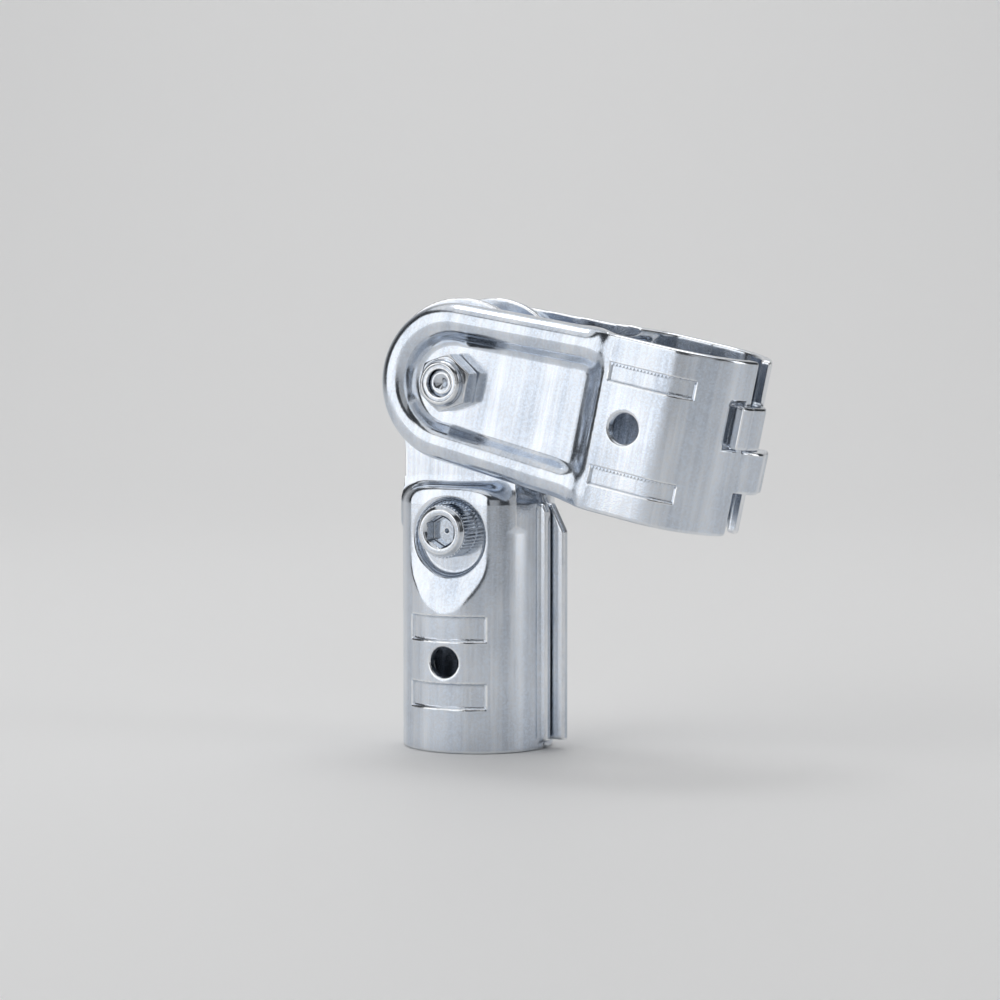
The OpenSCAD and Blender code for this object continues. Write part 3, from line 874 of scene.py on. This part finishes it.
def spread_marks(tree, source, result, points, mark, rotation):
    """Ends a tree: one mark on each point, made real and given its material."""
    spread = tree.nodes.new("GeometryNodeInstanceOnPoints")
    real = tree.nodes.new("GeometryNodeRealizeInstances")
    paint = tree.nodes.new("GeometryNodeSetMaterial")
    for socket, value in (("Points", points), ("Instance", mark), ("Rotation", rotation)):
        tree.links.new(value, spread.inputs[socket])
    tree.links.new(spread.outputs["Instances"], real.inputs["Geometry"])
    tree.links.new(real.outputs["Geometry"], paint.inputs["Geometry"])
    tree.links.new(source.outputs["Material"], paint.inputs["Material"])
    tree.links.new(paint.outputs["Geometry"], result.inputs["Geometry"])


def prism_mark(tree, sides, radius, depth):
    """An upright prism with that many sides."""
    node = tree.nodes.new("GeometryNodeMeshCylinder")
    node.inputs["Vertices"].default_value = sides
    tree.links.new(radius, node.inputs["Radius"])
    tree.links.new(depth, node.inputs["Depth"])
    return node.outputs["Mesh"]


def pad_teeth_tree():
    """A row of three-sided teeth along X on a wall's flat, then on round the wall, with Z outwards."""
    tree, source, result = new_marks_tree("pad teeth", ("Pitch", "Flat", "Wall", "Tooth", "Depth"))
    size = source.outputs
    row = tree.nodes.new("GeometryNodeMeshLine")
    tree.links.new(size["Count"], row.inputs["Count"])
    index = tree.nodes.new("GeometryNodeInputIndex")
    steps = math_node(tree, "MULTIPLY", index.outputs["Index"], size["Pitch"])
    along = math_node(tree, "SUBTRACT", steps, size["Flat"])
    radius = math_node(tree, "SUBTRACT", size["Wall"], math_node(tree, "MULTIPLY", size["Depth"], 0.5))
    bend = math_node(tree, "DIVIDE", math_node(tree, "MAXIMUM", along, 0.0), size["Wall"])
    across = math_node(tree, "MULTIPLY", math_node(tree, "SINE", bend, 0.0), radius)
    place = tree.nodes.new("ShaderNodeCombineXYZ")
    on_flat = math_node(tree, "MINIMUM", along, 0.0)
    out = math_node(tree, "MULTIPLY", math_node(tree, "COSINE", bend, 0.0), radius)
    tree.links.new(math_node(tree, "ADD", on_flat, across), place.inputs["X"])
    tree.links.new(out, place.inputs["Z"])
    put = tree.nodes.new("GeometryNodeSetPosition")
    tree.links.new(row.outputs["Mesh"], put.inputs["Geometry"])
    tree.links.new(place.outputs["Vector"], put.inputs["Position"])
    down = tree.nodes.new("GeometryNodeTransform")
    down.inputs["Rotation"].default_value = (0, 0, math.radians(-90))
    tree.links.new(prism_mark(tree, 3, size["Tooth"], size["Depth"]), down.inputs["Geometry"])
    angles = tree.nodes.new("ShaderNodeCombineXYZ")
    tree.links.new(bend, angles.inputs["Y"])
    turn = tree.nodes.new("FunctionNodeEulerToRotation")
    tree.links.new(angles.outputs["Vector"], turn.inputs["Euler"])
    spread_marks(tree, source, result, put.outputs["Geometry"], down.outputs["Geometry"],
                 turn.outputs["Rotation"])
    return tree


def knurl_tree():
    """Four-sided ridges round the Z axis."""
    tree, source, result = new_marks_tree("head knurl", ("Radius", "Ridge", "Height"))
    size = source.outputs
    ring = tree.nodes.new("GeometryNodeMeshCircle")
    tree.links.new(size["Count"], ring.inputs["Vertices"])
    tree.links.new(size["Radius"], ring.inputs["Radius"])
    out = tree.nodes.new("GeometryNodeInputPosition")
    turn = tree.nodes.new("FunctionNodeAlignRotationToVector")
    turn.axis = "X"
    tree.links.new(out.outputs["Position"], turn.inputs["Vector"])
    ridge = prism_mark(tree, 4, size["Ridge"], size["Height"])
    spread_marks(tree, source, result, ring.outputs["Mesh"], ridge, turn.outputs["Rotation"])
    return tree


def marks_mesh(name, tree, values, places):
    """A plain mesh of a tree's marks, repeated at each place."""
    maker = bpy.data.objects.new(name, bpy.data.meshes.new(name))
    bpy.context.scene.collection.objects.link(maker)
    modifier = maker.modifiers.new("marks", "NODES")
    modifier.node_group = tree
    for item in tree.interface.items_tree:
        if item.in_out == "INPUT":
            modifier[item.identifier] = values[item.name]
    made = bpy.data.meshes.new_from_object(maker.evaluated_get(bpy.context.evaluated_depsgraph_get()))
    maker.modifiers.remove(modifier)
    bpy.data.objects.remove(maker)
    whole = bmesh.new()
    for place in places:
        copy = made.copy()
        copy.transform(place)
        if place.determinant() < 0:
            copy.flip_normals()
        whole.from_mesh(copy)
        bpy.data.meshes.remove(copy)
    mesh = bpy.data.meshes.new(name)
    whole.to_mesh(mesh)
    whole.free()
    bpy.data.meshes.remove(made)
    return mesh


class CONNECTOR_OT_pad_teeth(bpy.types.Operator):
    """Add the rows of teeth along the upper edges of the clamp's grip pads"""
    bl_idname = "connector.pad_teeth"
    bl_label = "Pad teeth"

    def execute(self, context):
        sheet, wall = settings().sheet, wall_radius()
        row = sheet.clamp_pad_flat + sheet.clamp_pad_arc * wall
        values = {"Count": int(row / sheet.tooth_pitch) + 1, "Pitch": sheet.tooth_pitch,
                  "Flat": sheet.clamp_pad_flat - 0.2 * MM, "Wall": wall, "Tooth": sheet.tooth_size,
                  "Depth": sheet.pad_depth, "Material": sheet_material(ARM_TILT)}
        places = []
        for side in (FRONT, TURNED):
            for middle in (-sheet.clamp_pad_pitch / 2, sheet.clamp_pad_pitch / 2):
                edge = middle + sheet.clamp_pad_height / 2 - 0.1 * MM
                places.append(TO_SWIVEL @ side @ Matrix(((1, 0, 0, ARM_LEN), (0, 0, 1, 0), (0, 1, 0, edge),
                                                         (0, 0, 0, 1))))
        mesh = marks_mesh("clamp_pad_teeth", pad_teeth_tree(), values, places)
        add_piece("clamp_pad_teeth", mesh, "clamp", "zinc_sheet", sheet_material(ARM_TILT))
        return {"FINISHED"}


class CONNECTOR_OT_knurls(bpy.types.Operator):
    """Add the knurl ridges round the heads of the two screws"""
    bl_idname = "connector.knurls"
    bl_label = "Knurls"

    def execute(self, context):
        size = settings().fastener
        height = size.knurl_share * size.head_height
        values = {"Count": size.knurl_count, "Radius": size.head_radius, "Ridge": size.knurl_size,
                  "Height": height, "Material": bolt_material()}
        tree = knurl_tree()
        rise = size.knurl_lift + height / 2
        stand = Matrix(((1, 0, 0, 0), (0, 0, 1, rise), (0, 1, 0, 0), (0, 0, 0, 1)))
        for name, body, place, face, at_rear in fastener_places():
            mesh = marks_mesh(name + "_knurl", tree, values, [seat(place, face, at_rear) @ stand])
            add_piece(name + "_screw_knurl", mesh, body, "plated_bolt", bolt_material())
        return {"FINISHED"}


# Stage

def aim(obj, target):
    obj.rotation_euler = (Vector(target) - obj.location).to_track_quat("-Z", "Y").to_euler()


def soft_light(name, place, target, width, height, power):
    data = bpy.data.lights.new(name, "AREA")
    data.shape = "RECTANGLE"
    data.size = width
    data.size_y = height
    data.energy = power
    light = bpy.data.objects.new(name, data)
    light.location = place
    aim(light, target)
    bpy.context.scene.collection.objects.link(light)


def floor_material(look):
    material = bpy.data.materials.new("studio_floor")
    material.use_nodes = True
    shader = material.node_tree.nodes["Principled BSDF"]
    shader.inputs["Base Color"].default_value = (*look.floor, 1)
    shader.inputs["Roughness"].default_value = 0.6
    return material


def backdrop_mesh():
    """A floor that curves up into a backdrop far behind the object."""
    near, far, bend, high, half = -1.4, 1.5, 0.8, 2.0, 2.2
    line = [(near, 0.0), (far - bend, 0.0)]
    for i in range(1, 13):
        a = math.radians(90 * i / 12)
        line.append((far - bend + bend * math.sin(a), bend - bend * math.cos(a)))
    line.append((far, high))
    points = [(x, y, z) for y, z in line for x in (-half, half)]
    faces = [(2 * i, 2 * i + 1, 2 * i + 3, 2 * i + 2) for i in range(len(line) - 1)]
    mesh = bpy.data.meshes.new("studio_floor")
    mesh.from_pydata(points, [], faces)
    mesh.shade_smooth()
    return mesh


class CONNECTOR_OT_stage(bpy.types.Operator):
    """Set up the floor, the soft lights and the camera at the photograph's angle"""
    bl_idname = "connector.stage"
    bl_label = "Stage"

    def execute(self, context):
        look = settings().stage
        scene = context.scene
        scene.view_settings.view_transform = "Standard"
        right = Vector((math.cos(look.azimuth), math.sin(look.azimuth), 0))
        back = Vector((math.sin(look.azimuth) * math.cos(look.elevation),
                       -math.cos(look.azimuth) * math.cos(look.elevation), math.sin(look.elevation)))
        up = back.cross(right)
        target = PIVOT + right * look.aim_right - up * look.aim_down
        data = bpy.data.cameras.new("camera")
        data.sensor_width = 36.0
        data.lens = data.sensor_width * look.distance / look.frame_width
        data.clip_start = 0.01
        camera = bpy.data.objects.new("camera", data)
        camera.location = target + back * look.distance
        aim(camera, target)
        scene.collection.objects.link(camera)
        scene.camera = camera

        floor = bpy.data.objects.new("studio_floor", backdrop_mesh())
        scene.collection.objects.link(floor)
        floor.data.materials.append(floor_material(look))
        floor.rotation_euler = (0, 0, look.azimuth)

        middle = (CAD_BOX[0] + CAD_BOX[1]) / 2
        level = Vector((back.x, back.y, 0)).normalized()
        for name, across, near, rise, width, height, power in (
                ("key", -0.73, 0.39, 0.2, 1.1, 1.1, look.key_power),
                ("front", 0.27, 1.25, 0.3, 0.9, 0.9, look.front_power),
                ("strip", 0.83, 0.34, 0.15, 0.3, 0.9, look.strip_power),
                ("top", 0.0, -0.1, 1.3, 1.9, 1.9, look.top_power)):
            place = middle + right * across + level * near + Vector((0, 0, rise))
            soft_light(name, place, middle, width, height, power)
        soft_light("backdrop", middle - level * 0.5 + Vector((0, 0, 1.6)),
                   middle - level * 1.3 + Vector((0, 0, 0.4)), 1.0, 1.0, look.back_power)

        world = bpy.data.worlds.new("studio")
        world.use_nodes = True
        sky = world.node_tree.nodes["Background"]
        sky.inputs["Color"].default_value = (*look.fill, 1)
        sky.inputs["Strength"].default_value = look.fill_strength
        scene.world = world
        return {"FINISHED"}


class CONNECTOR_PT_panel(bpy.types.Panel):
    """Lists the pieces of the connector"""
    bl_idname = "CONNECTOR_PT_panel"
    bl_label = "Swivel tube connector"
    bl_space_type = "VIEW_3D"
    bl_region_type = "UI"
    bl_category = "Connector"

    def draw(self, context):
        for operator in PIECE_OPERATORS:
            self.layout.operator(operator.bl_idname)


PIECE_OPERATORS = (CONNECTOR_OT_stage, CONNECTOR_OT_socket_halves, CONNECTOR_OT_clamp_halves,
                   CONNECTOR_OT_bolts, CONNECTOR_OT_nuts, CONNECTOR_OT_pad_teeth, CONNECTOR_OT_knurls)
CLASSES = (SheetSizes, SocketSizes, ClampSizes, FastenerSizes, PlatingLook, StageLook, ConnectorSettings,
           *PIECE_OPERATORS, CONNECTOR_PT_panel)


def register():
    for cls in CLASSES:
        bpy.utils.register_class(cls)
    bpy.types.Scene.connector = PointerProperty(type=ConnectorSettings)


def unregister():
    del bpy.types.Scene.connector
    for cls in reversed(CLASSES):
        bpy.utils.unregister_class(cls)


def main():
    register()
    bpy.ops.connector.stage()
    bpy.ops.connector.socket_halves()
    bpy.ops.connector.clamp_halves()
    bpy.ops.connector.bolts()
    bpy.ops.connector.nuts()
    bpy.ops.connector.pad_teeth()
    bpy.ops.connector.knurls()


if __name__ == "__main__":
    main()
